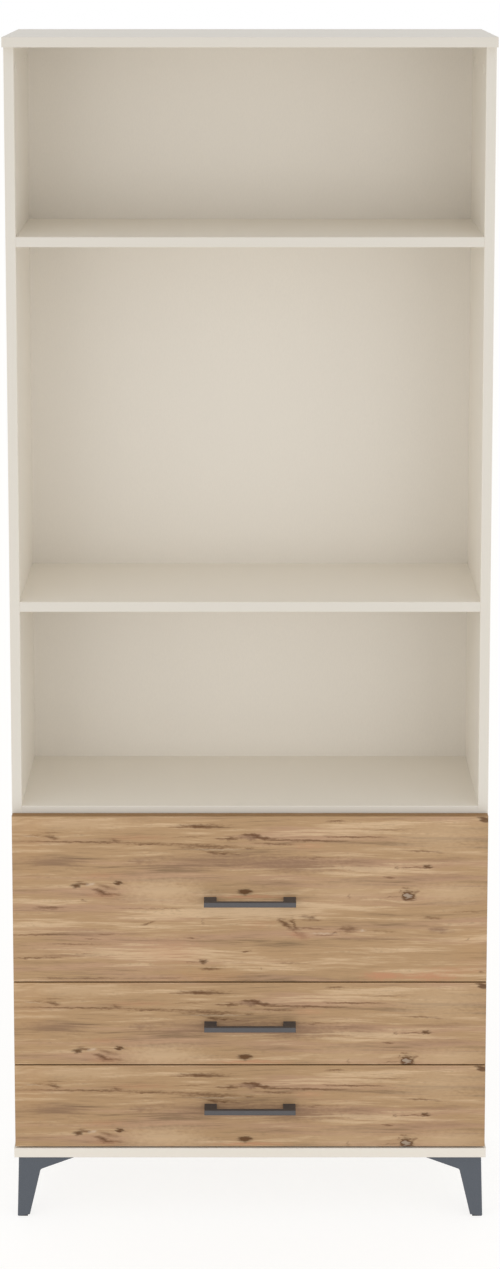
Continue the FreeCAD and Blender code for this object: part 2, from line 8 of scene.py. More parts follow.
import bpy
import numpy as np
from bpy.props import FloatProperty, FloatVectorProperty, PointerProperty
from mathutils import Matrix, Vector


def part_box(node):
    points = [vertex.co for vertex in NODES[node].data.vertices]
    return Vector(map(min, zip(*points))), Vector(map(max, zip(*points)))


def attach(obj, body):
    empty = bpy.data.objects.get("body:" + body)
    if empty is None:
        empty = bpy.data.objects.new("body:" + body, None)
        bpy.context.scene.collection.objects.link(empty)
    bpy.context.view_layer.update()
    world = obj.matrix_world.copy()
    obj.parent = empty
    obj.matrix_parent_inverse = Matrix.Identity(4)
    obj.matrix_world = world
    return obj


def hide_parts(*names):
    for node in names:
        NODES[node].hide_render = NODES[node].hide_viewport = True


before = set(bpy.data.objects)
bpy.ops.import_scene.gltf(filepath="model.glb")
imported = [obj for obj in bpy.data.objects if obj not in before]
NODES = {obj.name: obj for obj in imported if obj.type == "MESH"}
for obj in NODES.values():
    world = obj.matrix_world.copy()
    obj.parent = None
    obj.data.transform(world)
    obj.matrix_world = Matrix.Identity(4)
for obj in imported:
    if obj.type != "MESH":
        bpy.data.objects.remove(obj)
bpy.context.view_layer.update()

bl_info = {
    "name": "Bookcase Looks",
    "version": (1, 0, 0),
    "blender": (4, 5, 0),
    "location": "View3D > Sidebar > Bookcase",
    "description": "Finishes, small fittings and stage of a bookcase with bottom drawers",
    "category": "Object",
}

MM = 0.001
DRAWERS = ("drawer_1", "drawer_2", "drawer_3")
SIDES = ("left", "right")

# Places of the fittings, measured from the boards, rails, handles and legs that carry them.
CAM_SETBACK = 34.0 * MM             # centre of a cam from the end of its board
CAM_RADIUS = 7.5 * MM
SMALL_CAM_SETBACK = 24.0 * MM       # centre of a drawer cam behind the front
SMALL_CAM_RISE = 30.0 * MM          # lower cam over the lower edge of the wall
SMALL_CAM_DROP = 22.0 * MM          # upper cam under the upper edge of the wall
CORNER_SCREW_INSET = 6.0 * MM       # from the rear end of the wall
RAIL_SCREW_INSETS = (35.0 * MM, 28.0 * MM)      # from the front and the rear end of a rail
RAIL_STEEL = 1.2 * MM
BALL_RADIUS = 2.2 * MM
BALL_OUT = 3.7 * MM                 # ball centres from the side panel
BALL_RISE = 13.8 * MM               # ball centres over and under the middle of the rail
BALLS_PER_ROW = 7
HANDLE_POST = 20.0 * MM
LEG_SCREW_SPOTS = ((14.8 * MM, 14.8 * MM), (50.8 * MM, 14.8 * MM), (14.8 * MM, 50.8 * MM))
LEG_STEEL = 2.5 * MM

# Boards of the carcass by kind: their nodes, and factors on the cream of the edge band in front, of
# the faces and, on top of that, of the upper face. These factors are painted light and shade: front
# edges darker high up and lighter on the bottom panel, side panels lighter, the upper face of the top
# panel darker and those of the shelves lighter.
CARCASS_BOARDS = {
    "sides": (("left_side", "right_side"), 0.885, 1.04, 1.0),
    "top": (("top_panel",), 0.875, 1.0, 0.88),
    "shelves": (("drawer_deck", "middle_shelf", "upper_shelf"), 0.87, 1.0, 1.1),
    "bottom": (("bottom_panel",), 1.04, 1.0, 1.0),
}

# Stage, in metres: half the floor's side, the softboxes on the right (the left ones are their
# mirror images), the point that they aim at, the floor's colours and the camera's own sizes.
FLOOR_HALF = 40.0
FRONT_SOFTBOX = (1.9, -3.6, 1.1)
WIDE_SOFTBOX = (3.2, -2.4, 1.1)
SOFTBOX_SIZE = 1.6
SOFTBOX_AIM = (0.0, 0.0, 0.95)
FLOOR_BOUNCE = (0.9, 0.885, 0.86, 1.0)          # as the object is lit by it
FLOOR_SHADE = (0.24, 0.24, 0.24, 1.0)           # as it is seen: the part that takes the shadow
FLOOR_GLOW = (1.0, 0.99, 0.975, 1.0)            # and the part that is pale by itself
FLOOR_GLOW_STRENGTH = 0.81
SENSOR_WIDTH = 36.0                             # millimetres
CAMERA_RANGE = (0.1, 200.0)


# Sizes and colours a user would change ----------------------------------------------------------


def colour(name, description, default):
    return FloatVectorProperty(name=name, description=description, default=default,
                               subtype="COLOR", size=3, min=0.0, max=1.0)


def metres(name, description, default):
    return FloatProperty(name=name, description=description, default=default, unit="LENGTH", precision=4)


def wattage(name, description, default):
    return FloatProperty(name=name, description=description, default=default, unit="POWER")


def share(name, description, default):
    return FloatProperty(name=name, description=description, default=default,
                         subtype="FACTOR", min=0.0, max=1.0)


class LaminateSettings(bpy.types.PropertyGroup):
    cream: colour("Cream", "Melamine faces and edge bands of the boards", (0.80, 0.753, 0.672))
    hardboard: colour("Hardboard", "Lacquered face of the back panel and drawer floors",
                      (0.77, 0.72, 0.641))
    raw_board: colour("Raw board", "Uncoated rear face of the back panel", (0.30, 0.18, 0.09))
    chips: colour("Chips", "Uncoated rear edges of the particle boards", (0.46, 0.33, 0.19))
    roughness: share("Roughness", "Roughness of the melamine", 0.46)


class OakSettings(bpy.types.PropertyGroup):
    tan: colour("Tan", "Main tone of the wood", (0.44, 0.28, 0.148))
    straw: colour("Straw", "Light, yellowish zones", (0.615, 0.431, 0.262))
    rose: colour("Rose", "Pinkish zones", (0.459, 0.284, 0.172))
    orange: colour("Orange", "Warm zones at the lower edge", (0.49, 0.28, 0.125))
    blush: colour("Blush", "Reddish patches", (0.50, 0.255, 0.14))
    grey: colour("Grey", "Greyish brown bands", (0.265, 0.155, 0.093))
    brown: colour("Brown", "Thin dark streaks", (0.095, 0.032, 0.007))
    pale: colour("Pale", "Pale flecks beside the knots", (0.62, 0.49, 0.37))
    umber: colour("Umber", "Knots", (0.105, 0.04, 0.01))
    # Edge: darker than the print, partly the edge band and partly painted shade of the gap above the
    # front.
    edge: colour("Edge", "Upper edge of a front", (0.31, 0.168, 0.062))
    roughness: share("Roughness", "Roughness of the printed face", 0.5)


class MetalSettings(bpy.types.PropertyGroup):
    anthracite: colour("Anthracite", "Powder coat of the legs", (0.118, 0.13, 0.15))
    graphite: colour("Graphite", "Powder coat of the handles", (0.12, 0.115, 0.118))
    zinc: colour("Zinc", "Plating of the rails and screws", (0.62, 0.63, 0.65))
    cage: colour("Cage", "Oiled strip of the ball cages", (0.5, 0.49, 0.45))


class StageSettings(bpy.types.PropertyGroup):
    eye_distance: metres("Eye distance", "Camera in front of the drawer faces", 4.1)
    eye_height: metres("Eye height", "Camera over the floor", 2.11)
    pitch: FloatProperty(name="Pitch", description="Camera's tilt below the horizon",
                         default=math.radians(7.2), subtype="ANGLE")
    lens: FloatProperty(name="Lens", description="Focal length", default=75.0, unit="CAMERA")
    shift: FloatProperty(name="Shift", description="Vertical shift of the camera", default=-0.30)
    sky: FloatProperty(name="Sky", description="Strength of the even light from all around", default=0.80)
    front_boxes: wattage("Front softboxes", "Power of each of the two softboxes in front", 11.5)
    wide_boxes: wattage("Wide softboxes", "Power of each of the two softboxes further out", 12.0)


# Node helpers -----------------------------------------------------------------------------------


class Nodes:
    """A node tree with short calls for the nodes that the finishes use."""

    def __init__(self, tree):
        self.tree = tree

    def add(self, kind, **values):
        node = self.tree.nodes.new(kind)
        for name, value in values.items():
            setattr(node, name, value)
        return node

    def link(self, source, target):
        self.tree.links.new(source, target)

    def feed(self, socket, value):
        """Links a socket, or sets it where the value is a plain number, vector or colour."""
        if isinstance(value, bpy.types.NodeSocket):
            self.link(value, socket)
        elif hasattr(value, "__len__") and len(value) == 3 and len(socket.default_value) == 4:
            socket.default_value = (*value, 1.0)
        else:
            socket.default_value = value

    def math(self, operation, first, second):
        node = self.add("ShaderNodeMath", operation=operation)
        self.feed(node.inputs[0], first)
        self.feed(node.inputs[1], second)
        return node.outputs[0]

    def vector_sum(self, first, second):
        node = self.add("ShaderNodeVectorMath", operation="ADD")
        self.feed(node.inputs[0], first)
        self.feed(node.inputs[1], second)
        return node.outputs["Vector"]

    def vector_length(self, vector):
        node = self.add("ShaderNodeVectorMath", operation="LENGTH")
        self.feed(node.inputs[0], vector)
        return node.outputs["Value"]

    def mapping(self, vector, location=(0, 0, 0), rotation=(0, 0, 0), scale=(1, 1, 1), kind="POINT"):
        node = self.add("ShaderNodeMapping", vector_type=kind)
        self.feed(node.inputs["Vector"], vector)
        node.inputs["Location"].default_value = location
        node.inputs["Rotation"].default_value = rotation
        node.inputs["Scale"].default_value = scale
        return node.outputs["Vector"]

    def noise(self, vector, scale=1.0, detail=2.0, roughness=0.5):
        node = self.add("ShaderNodeTexNoise")
        self.feed(node.inputs["Vector"], vector)
        node.inputs["Scale"].default_value = scale
        node.inputs["Detail"].default_value = detail
        node.inputs["Roughness"].default_value = roughness
        return node.outputs["Fac"]

    def smooth(self, value, low, high, to_low=0.0, to_high=1.0):
        """Smooth step of a value from low to high, onto to_low to to_high."""
        node = self.add("ShaderNodeMapRange", interpolation_type="SMOOTHSTEP")
        self.feed(node.inputs["Value"], value)
        limits = (("From Min", low), ("From Max", high), ("To Min", to_low), ("To Max", to_high))
        for name, number in limits:
            node.inputs[name].default_value = number
        return node.outputs["Result"]

    def spot(self, vector, centre, half_axes, tilt):
        """Cone over a tilted ellipse: 1 at the centre, 0 at the rim and outside."""
        node = self.add("ShaderNodeTexGradient", gradient_type="SPHERICAL")
        self.link(vector, node.inputs["Vector"])
        node.texture_mapping.vector_type = "TEXTURE"
        node.texture_mapping.translation = centre
        node.texture_mapping.rotation = (0.0, -math.radians(tilt), 0.0)
        node.texture_mapping.scale = half_axes
        return node.outputs["Fac"]

    def mix(self, factor, first, second, blend="MIX"):
        node = self.add("ShaderNodeMix", data_type="RGBA", blend_type=blend)
        self.feed(node.inputs["Factor"], factor)
        self.feed(node.inputs["A"], first)
        self.feed(node.inputs["B"], second)
        return node.outputs["Result"]

    def facing(self, axis, sense):
        """1 on faces that point along an axis (0, 1 or 2) in the given sense, else 0."""
        normal = self.add("ShaderNodeTexCoord").outputs["Normal"]
        split = self.add("ShaderNodeSeparateXYZ")
        self.link(normal, split.inputs[0])
        return self.smooth(self.math("MULTIPLY", split.outputs[axis], sense), 0.85, 0.95)


class Finish(Nodes):
    """A material of one principled shader, with the piece's own coordinates at hand."""

    def __init__(self, name):
        self.material = bpy.data.materials.new(name)
        self.material.use_nodes = True
        super().__init__(self.material.node_tree)
        self.tree.nodes.clear()
        self.shader = self.add("ShaderNodeBsdfPrincipled")
        output = self.add("ShaderNodeOutputMaterial")
        self.link(self.shader.outputs[0], output.inputs["Surface"])
        self.place = self.add("ShaderNodeTexCoord").outputs["Object"]

    def colour(self, value):
        self.feed(self.shader.inputs["Base Color"], value)

    def roughness(self, value):
        self.feed(self.shader.inputs["Roughness"], value)

    def bump(self, height, strength, distance):
        node = self.add("ShaderNodeBump")
        node.inputs["Strength"].default_value = strength
        node.inputs["Distance"].default_value = distance
        self.feed(node.inputs["Height"], height)
        self.feed(self.shader.inputs["Normal"], node.outputs["Normal"])


def tint(base, factor):
    return tuple(min(1.0, c * factor) for c in base)


# Finishes ---------------------------------------------------------------------------------------


def chipboard(n, settings):
    """Colour of a sawn particle board: flakes from random cells, darkened by a fine grain."""
    flakes = n.add("ShaderNodeTexVoronoi", feature="F1")
    n.feed(flakes.inputs["Vector"], n.mapping(n.place, scale=(1.0, 1.0, 1.6)))
    flakes.inputs["Scale"].default_value = 420.0
    shade = n.math("ADD", n.math("MULTIPLY", flakes.outputs["Color"], 0.6), 0.6)
    grain = n.noise(n.place, scale=1500.0, detail=3.0)
    dark = n.mix(n.smooth(grain, 0.35, 0.7), tint(settings.chips, 0.6), tint(settings.chips, 1.2))
    return n.mix(1.0, dark, shade, "MULTIPLY")


def melamine(name, settings, painted_light_front_band=1.0, faces=1.0, painted_light_upper_face=1.0, sawn_rear=False):
    """Cream melamine: a fine pearl emboss and a faint cloudiness, with sawn rear edges if wanted.

    The edge band in front, the faces and, on top of that, the upper face are tinted by factors: painted
    light and shade."""
    n = Finish(name)
    cloud = n.noise(n.place, scale=5.0, detail=3.0)
    pearl = n.noise(n.place, scale=900.0, detail=2.0)
    # The faces factor is painted light: lighter on the side panels.
    cream = tint(settings.cream, faces)
    face = n.mix(cloud, tint(cream, 0.985), tint(cream, 1.015))
    face = n.mix(n.smooth(pearl, 0.3, 0.7), tint(cream, 0.975), face)
    # Painted light and shade on upward faces: darker on the top panel, lighter on the shelves.
    face = n.mix(n.facing(2, 1.0), face, (painted_light_upper_face, painted_light_upper_face, painted_light_upper_face), "MULTIPLY")
    # Painted light and shade on the edge band in front: darker on the upper boards, lighter on the bottom
    # panel.
    face = n.mix(n.facing(1, -1.0), face, tint(settings.cream, painted_light_front_band))
    if sawn_rear:
        face = n.mix(n.facing(1, 1.0), face, chipboard(n, settings))
    n.colour(face)
    n.roughness(n.smooth(pearl, 0.2, 0.8, settings.roughness - 0.05, settings.roughness + 0.06))
    n.bump(pearl, strength=0.12, distance=0.0002)
    return n.material


def hardboard(name, settings):
    """Lacquered hardboard: smooth cream to the front, raw pressed fibre to the rear."""
    n = Finish(name)
    cloud = n.noise(n.place, scale=4.0, detail=2.0)
    paper = n.noise(n.mapping(n.place, scale=(1.0, 1.0, 0.25)), scale=700.0, detail=2.0)
    face = n.mix(cloud, tint(settings.hardboard, 0.985), tint(settings.hardboard, 1.015))
    face = n.mix(n.smooth(paper, 0.3, 0.7), tint(settings.hardboard, 0.98), face)
    fibre = n.noise(n.place, scale=650.0, detail=6.0, roughness=0.7)
    blotch = n.noise(n.place, scale=18.0, detail=3.0)
    raw = n.mix(n.smooth(fibre, 0.3, 0.72), tint(settings.raw_board, 0.62), tint(settings.raw_board, 1.3))
    raw = n.mix(n.smooth(blotch, 0.3, 0.7), tint(settings.raw_board, 0.9), raw)
    n.colour(n.mix(n.facing(1, 1.0), face, raw))
    n.roughness(n.smooth(paper, 0.2, 0.8, 0.42, 0.56))
    n.bump(paper, strength=0.1, distance=0.0002)
    return n.material


def powder_coat(name, base):
    """Powder coat: orange-peel emboss and a fine fleck over a metallic pigment."""
    n = Finish(name)
    fleck = n.noise(n.place, scale=2600.0, detail=1.0)
    peel = n.noise(n.place, scale=1100.0, detail=2.0)
    n.colour(n.mix(n.smooth(fleck, 0.35, 0.65), tint(base, 0.88), tint(base, 1.12)))
    n.shader.inputs["Metallic"].default_value = 0.75
    n.shader.inputs["Specular IOR Level"].default_value = 0.3
    n.roughness(n.smooth(peel, 0.25, 0.75, 0.5, 0.62))
    n.bump(peel, strength=0.18, distance=0.0002)
    return n.material


def drawn_metal(name, base, roughness):
    """Rolled or plated steel with streaks along Y, as rolled strip has."""
    n = Finish(name)
    streak = n.noise(n.mapping(n.place, scale=(1.0, 0.02, 1.0)), scale=3200.0, detail=2.0)
    bloom = n.noise(n.place, scale=60.0, detail=3.0)
    face = n.mix(n.smooth(bloom, 0.3, 0.7), tint(base, 0.86), base)
    n.colour(n.mix(n.smooth(streak, 0.3, 0.7), tint(base, 0.8), face))
    n.shader.inputs["Metallic"].default_value = 1.0
    n.roughness(n.smooth(streak, 0.2, 0.8, roughness - 0.07, roughness + 0.1))
    n.bump(streak, strength=0.1, distance=0.0001)
    return n.material


def moulded(name, base, roughness):
    """Injection-moulded plastic with a fine spark-eroded grain."""
    n = Finish(name)
    grain = n.noise(n.place, scale=1800.0, detail=2.0)
    n.colour(n.mix(n.smooth(grain, 0.3, 0.7), tint(base, 0.9), tint(base, 1.1)))
    n.roughness(n.smooth(grain, 0.2, 0.8, roughness - 0.06, roughness + 0.06))
    n.bump(grain, strength=0.15, distance=0.0002)
    return n.material


# Marks of the printed oak. Every front is cut from the same print, so each mark is placed in
# millimetres from the upper left corner of its front: across, down, half length, half height, tilt
# in degrees (rising to the right) and strength. The groups are laid on in this order.
OAK_MARKS = {
    "straw": (
        (105, 13, 105, 9, 0, 0.45), (690, 33, 80, 23, 0, 0.45), (240, 125, 72, 18, 0, 0.7),
        (540, 125, 70, 17, 0, 0.3), (707, 128, 64, 15, 0, 0.5), (330, 150, 90, 8, 0, 0.3),
    ),
    "orange": (
        (314, 268, 74, 10, 0, 0.45), (30, 40, 30, 60, 0, 0.2), (740, 230, 30, 50, 0, 0.2),
    ),
    "blush": (
        (200, 36, 52, 4, 0, 0.35), (476, 49, 32, 4, 0, 0.45), (143, 99, 40, 5, 0, 0.35),
        (148, 132, 30, 5, 0, 0.4), (380, 134, 60, 2.4, 0, 0.8), (255, 227, 52, 19, 0, 0.3),
        (711, 257, 47, 4, 0, 0.5), (600, 267, 34, 7, 0, 1.0), (675, 268, 48, 7, 0, 0.9),
        (463, 199, 16, 6, -20, 0.8), (399, 181, 30, 7, 0, 0.25),
    ),
    "grey": (
        (64, 76, 56, 7, -2, 0.6), (206, 74, 26, 5, 3, 0.6), (327, 74, 128, 10, 0, 0.65),
        (449, 80, 98, 12, -2, 0.8), (567, 80, 42, 12, 0, 0.4), (700, 73, 64, 4, 0, 0.45),
        (697, 102, 66, 5, 0, 0.35), (118, 195, 54, 6, 0, 0.4), (690, 190, 23, 5, -3, 0.8),
        (465, 198, 15, 6, -35, 0.6), (384, 35, 24, 3.4, 0, 0.9), (576, 204, 64, 2, 0, 0.4),
    ),
    "brown": (
        (301, 16, 42, 3.6, 0, 0.85), (522, 8, 20, 2, 0, 0.65), (608, 22, 46, 1.5, 1, 0.3),
        (64, 35, 15, 2.8, -8, 0.8), (62, 27, 16, 1, 0, 0.35), (37, 31, 20, 1, 0, 0.3),
        (165, 40, 9, 1.8, 0, 0.6), (211, 46, 32, 1.2, 0, 0.6), (348, 37, 24, 2.4, 0, 0.85),
        (384, 31, 18, 1.6, -2, 0.7), (402, 36, 22, 2.6, -8, 0.75), (425, 46, 36, 1.4, -2, 0.6),
        (318, 50, 74, 3.2, -2, 0.7), (382, 53, 10, 2, 0, 0.65), (284, 34, 26, 1, 2, 0.4),
        (130, 43, 130, 1.3, -0.5, 0.55), (334, 61, 26, 1.9, -3, 0.75), (476, 40, 66, 1.7, -1, 0.65),
        (552, 34, 48, 1.5, -1, 0.65), (491, 69, 64, 1.2, 1, 0.35), (665, 58, 36, 1.7, -3, 0.55),
        (648, 85, 28, 1.3, 0, 0.6), (618, 86, 4, 2, 20, 0.65), (606, 102, 11, 2, -5, 0.65),
        (113, 112, 10, 2.2, -10, 0.7), (177, 112, 8, 1.7, 0, 0.4), (152, 118, 18, 3.4, -12, 0.5),
        (167, 130, 15, 2, -6, 0.45), (543, 134, 2, 3.6, 0, 0.5), (611, 135, 16, 1, 3, 0.4),
        (114, 140, 8, 2, -15, 0.6), (57, 153, 21, 2.7, 0, 0.6), (236, 154, 66, 1.2, 0, 0.45),
        (734, 159, 26, 1.2, 2, 0.4), (478, 169, 17, 4, -5, 0.7), (678, 170, 19, 2.2, 0, 0.55),
        (308, 177, 2, 6, 0, 0.3), (219, 179, 11, 1.3, 20, 0.65), (542, 189, 16, 5.3, 0, 0.6),
        (594, 192, 34, 1.7, -2, 0.35), (518, 195, 5, 2, 20, 0.65), (40, 198, 47, 1.2, 1, 0.45),
        (152, 197, 16, 1, 0, 0.45), (130, 205, 16, 1, 0, 0.5), (290, 204, 13, 1.5, 0, 0.65),
        (735, 206, 4, 1.7, 0, 0.65), (101, 214, 56, 1.2, 0, 0.45), (377, 226, 8, 1.2, -4, 0.7),
        (111, 232, 66, 2.2, 1, 0.35), (32, 237, 44, 1.2, 1, 0.7), (290, 244, 14, 1, -3, 0.45),
        (446, 246, 34, 1.2, 0, 0.4), (320, 255, 16, 2.7, 0, 0.7), (401, 255, 1.5, 3, 0, 0.45),
        (757, 261, 4, 1.5, 0, 0.5), (64, 270, 22, 1.2, 0, 0.45), (140, 271, 39, 1.2, 0, 0.4),
        (246, 271, 42, 1.5, 0, 0.4), (144, 127, 16, 4, -18, 0.8), (441, 181, 20, 3.8, -34, 0.85),
        (432, 171, 8, 1.4, 0, 0.6), (453, 179, 11, 3.4, -72, 0.75), (458, 187, 9, 3, -15, 0.65),
        (480, 187, 26, 1.6, -3, 0.55), (504, 199, 18, 1.1, 0, 0.5), (634, 120, 9, 1.8, -6, 0.5),
        (651, 126, 4, 3, 40, 0.6), (625, 125, 3, 3, -35, 0.5),
    ),
    "pale": (
        (32, 33, 17, 1, -3, 0.3), (339, 55, 44, 1, 0, 0.35), (126, 113, 8, 2.4, 8, 0.6),
        (564, 191, 8, 1.7, 0, 0.6), (501, 196, 23, 1.5, 0, 0.45),
    ),
    "umber": (
        (760, 5, 7, 3.4, -8, 0.8), (668, 84, 6, 2.2, 0, 0.8), (170, 111, 5, 2.7, -5, 0.85),
        (102, 116, 6, 2.9, 10, 0.85), (374, 126, 10, 3.7, 0, 0.85), (308, 243, 6, 2.4, 0, 0.75),
    ),
}

# How far the cone of a mark reaches, over its half length and its half height, and the same for
# the ring knot.
MARK_SPREAD = (2.0, 2.4)
RING_SPREAD = (2.0, 2.0)

# Heights of the cone, less the roughness of the grain, where a mark begins and where it is full.
MARK_BEGINS = 0.3
MARK_FULL = 1.0
KNOT_FULL = 0.8

# Half axis across the board, so long that a mark goes through the whole front.
THROUGH = 1000.0

# How much the plain colour of a front's upper edge hides the print: partly the edge band, partly painted
# shade of the gap above the front.
EDGE_SHADE_COVER = 0.9

# The knot with a pale heart and a dark rim: across, down, half width, half height.
RING_KNOT = (638.5, 132.5, 9.4, 8.2)

# Knots that the grain bends around: across, down, half width, half height of the bend.
GRAIN_BENDS = ((374, 126, 40, 14), (638, 132, 60, 22), (760, 5, 30, 12), (142, 120, 60, 18))


def warped(n, point):
    """The point moved a little to and fro by noise, which frays the outline of a mark."""
    sideways = n.noise(n.mapping(point, scale=(70.0, 1.0, 260.0)), detail=3.0, roughness=0.6)
    apart = n.mapping(point, scale=(90.0, 1.0, 190.0), location=(5.0, 0.0, 2.0))
    upright = n.noise(apart, detail=3.0, roughness=0.6)
    shift = n.add("ShaderNodeCombineXYZ")
    n.feed(shift.inputs["X"], n.math("MULTIPLY", n.math("SUBTRACT", sideways, 0.5), 22.0 * MM))
    n.feed(shift.inputs["Z"], n.math("MULTIPLY", n.math("SUBTRACT", upright, 0.5), 7.0 * MM))
    return n.vector_sum(point, shift.outputs[0])


def mark_spot(n, point, place, half_sizes, spread, tilt=0.0):
    """Cone of one mark, from its place and half sizes in millimetres."""
    half_axes = (spread[0] * half_sizes[0] * MM, THROUGH, spread[1] * half_sizes[1] * MM)
    return n.spot(point, (place[0] * MM, 0.0, -place[1] * MM), half_axes, tilt)


def bent_grain(n, point):
    """The point moved up or down, so that the grain sways and bends around the large knots.

    Near such a knot the grain is pushed up above it and down below it."""
    sway = n.math("SUBTRACT", n.noise(n.mapping(point, scale=(5.0, 1.0, 14.0)), detail=2.0), 0.5)
    lift = n.math("MULTIPLY", sway, 0.012)
    for across, down, half_width, half_height in GRAIN_BENDS:
        around = n.mapping(point, (across * MM, 0.0, -down * MM), (0.0, 0.0, 0.0),
                           (half_width * MM, THROUGH, half_height * MM), "TEXTURE")
        split = n.add("ShaderNodeSeparateXYZ")
        n.link(around, split.inputs[0])
        near = n.smooth(n.vector_length(around), 1.0, 0.0, 0.0, half_height * MM * 0.6)
        lift = n.math("SUBTRACT", lift, n.math("MULTIPLY", near, split.outputs[2]))
    raised = n.add("ShaderNodeCombineXYZ")
    n.feed(raised.inputs["Z"], lift)
    return n.vector_sum(point, raised.outputs[0])


def plain_oak(n, grain, settings):
    """Wood without marks: its colour, how ragged a mark on it gets, and the height of its fibres.

    Noise stretched along X gives its bands, hues, streaks, fibres, speckle and pores."""
    bands = n.noise(n.mapping(grain, scale=(1.7, 1.0, 30.0)), detail=3.0, roughness=0.55)
    apart = n.mapping(grain, scale=(2.6, 1.0, 42.0), location=(3.0, 0.0, 7.0))
    hues = n.noise(apart, detail=3.0, roughness=0.55)
    streaks = n.noise(n.mapping(grain, scale=(6.0, 6.0, 150.0)), detail=4.0, roughness=0.6)
    fibres = n.noise(n.mapping(grain, scale=(22.0, 60.0, 700.0)), detail=3.0, roughness=0.6)
    speckle = n.noise(n.mapping(grain, scale=(110.0, 110.0, 260.0)), detail=2.0)
    pores = n.noise(n.mapping(grain, scale=(40.0, 60.0, 850.0)), detail=2.0)

    tone = n.math("ADD", n.math("MULTIPLY", bands, 2.7), n.math("MULTIPLY", streaks, 2.0))
    tone = n.math("ADD", tone, n.math("MULTIPLY", fibres, 1.3))
    base = n.mix(n.smooth(hues, 0.46, 0.66), settings.tan, settings.rose)
    wood = n.mix(n.smooth(tone, 3.0, 3.5), base, settings.straw)
    wood = n.mix(n.smooth(tone, 2.95, 2.2, 0.0, 0.9), wood, tint(settings.tan, 0.46))
    wood = n.mix(n.smooth(pores, 0.56, 0.76, 0.0, 0.3), wood, tint(settings.tan, 0.5))
    ragged = 0.0
    for value, weight in ((streaks, 0.9), (speckle, 0.6), (fibres, 0.4)):
        ragged = n.math("ADD", ragged, n.math("MULTIPLY", n.math("SUBTRACT", value, 0.5), weight))
    wood = n.mix(n.smooth(ragged, 0.08, 0.3, 0.0, 0.3), wood, tint(settings.tan, 0.45))
    return wood, ragged, fibres


def marked_oak(n, frayed, wood, ragged, settings):
    """The wood with its marks: each is a cone over an ellipse, and a knot has a halo around it."""
    for name, marks in OAK_MARKS.items():
        full = KNOT_FULL if name == "umber" else MARK_FULL
        for across, down, half_length, half_height, tilt, strength in marks:
            spot = mark_spot(n, frayed, (across, down), (half_length, half_height), MARK_SPREAD, tilt)
            if name == "umber":
                halo = n.math("SUBTRACT", spot, n.math("MULTIPLY", ragged, 0.4))
                wood = n.mix(n.smooth(halo, 0.15, 0.6, 0.0, 0.6), wood, tint(settings.tan, 0.3))
            depth = n.smooth(n.math("SUBTRACT", spot, ragged), MARK_BEGINS, full, 0.0, strength)
            wood = n.mix(depth, wood, getattr(settings, name))
    return wood


def ringed_oak(n, frayed, wood, ragged, settings):
    """The wood with its ring knot: from the rim inwards a shade, a dark ring and a pale heart."""
    across, down, half_width, half_height = RING_KNOT
    spot = mark_spot(n, frayed, (across, down), (half_width, half_height), RING_SPREAD)
    rough = n.math("SUBTRACT", spot, n.math("MULTIPLY", ragged, 0.6))
    wood = n.mix(n.smooth(rough, 0.2, 0.5, 0.0, 0.4), wood, tint(settings.tan, 0.4))
    wood = n.mix(n.smooth(rough, 0.4, 0.62, 0.0, 0.85), wood, settings.umber)
    return n.mix(n.smooth(rough, 0.68, 0.84, 0.0, 0.75), wood, tint(settings.pale, 0.7))


def oak_print(settings):
    """Node group of the print: colour and fibre height at a point from the upper left corner."""
    group = bpy.data.node_groups.new("oak_print", "ShaderNodeTree")
    group.interface.new_socket("Point", in_out="INPUT", socket_type="NodeSocketVector")
    group.interface.new_socket("Colour", in_out="OUTPUT", socket_type="NodeSocketColor")
    group.interface.new_socket("Fibres", in_out="OUTPUT", socket_type="NodeSocketFloat")
    n = Nodes(group)
    point = n.add("NodeGroupInput").outputs[0]
    wood, ragged, fibres = plain_oak(n, bent_grain(n, point), settings)
    frayed = warped(n, point)
    wood = marked_oak(n, frayed, wood, ragged, settings)
    wood = ringed_oak(n, frayed, wood, ragged, settings)
    end = n.add("NodeGroupOutput")
    n.link(wood, end.inputs["Colour"])
    n.link(fibres, end.inputs["Fibres"])
    return group


def oak(name, print_group, settings, corner):
    """Front with the oak print laid on from the given upper left corner and a plain, darker upper edge:
    partly its edge band, partly painted shade.
    """
    n = Finish(name)
    printed = n.add("ShaderNodeGroup", node_tree=print_group)
    n.link(n.mapping(n.place, location=tuple(-c for c in corner)), printed.inputs["Point"])
    # The upper edge gets the plain dark colour: partly its edge band, partly painted shade.
    upper_edge_shade = n.math("MULTIPLY", n.facing(2, 1.0), EDGE_SHADE_COVER)
    fibres = printed.outputs["Fibres"]
    n.colour(n.mix(upper_edge_shade, printed.outputs["Colour"], settings.edge))
    n.shader.inputs["Specular IOR Level"].default_value = 0.25
    n.roughness(n.smooth(fibres, 0.3, 0.7, settings.roughness + 0.05, settings.roughness - 0.05))
    n.bump(fibres, strength=0.15, distance=0.0003)
    return n.material


def beech(name):
    """Pale beech with small dark flecks."""
    n = Finish(name)
    fleck = n.noise(n.place, scale=700.0, detail=3.0)
    n.colour(n.mix(n.smooth(fleck, 0.4, 0.6), (0.42, 0.26, 0.13), (0.6, 0.42, 0.25)))
    n.roughness(0.6)
    n.bump(fleck, strength=0.2, distance=0.0002)
    return n.material


def finish(name, material):
    """Gives a CAD node one material."""
    node = NODES[name]
    node.data.materials.clear()
    node.data.materials.append(material)


# Turned pieces ----------------------------------------------------------------------------------


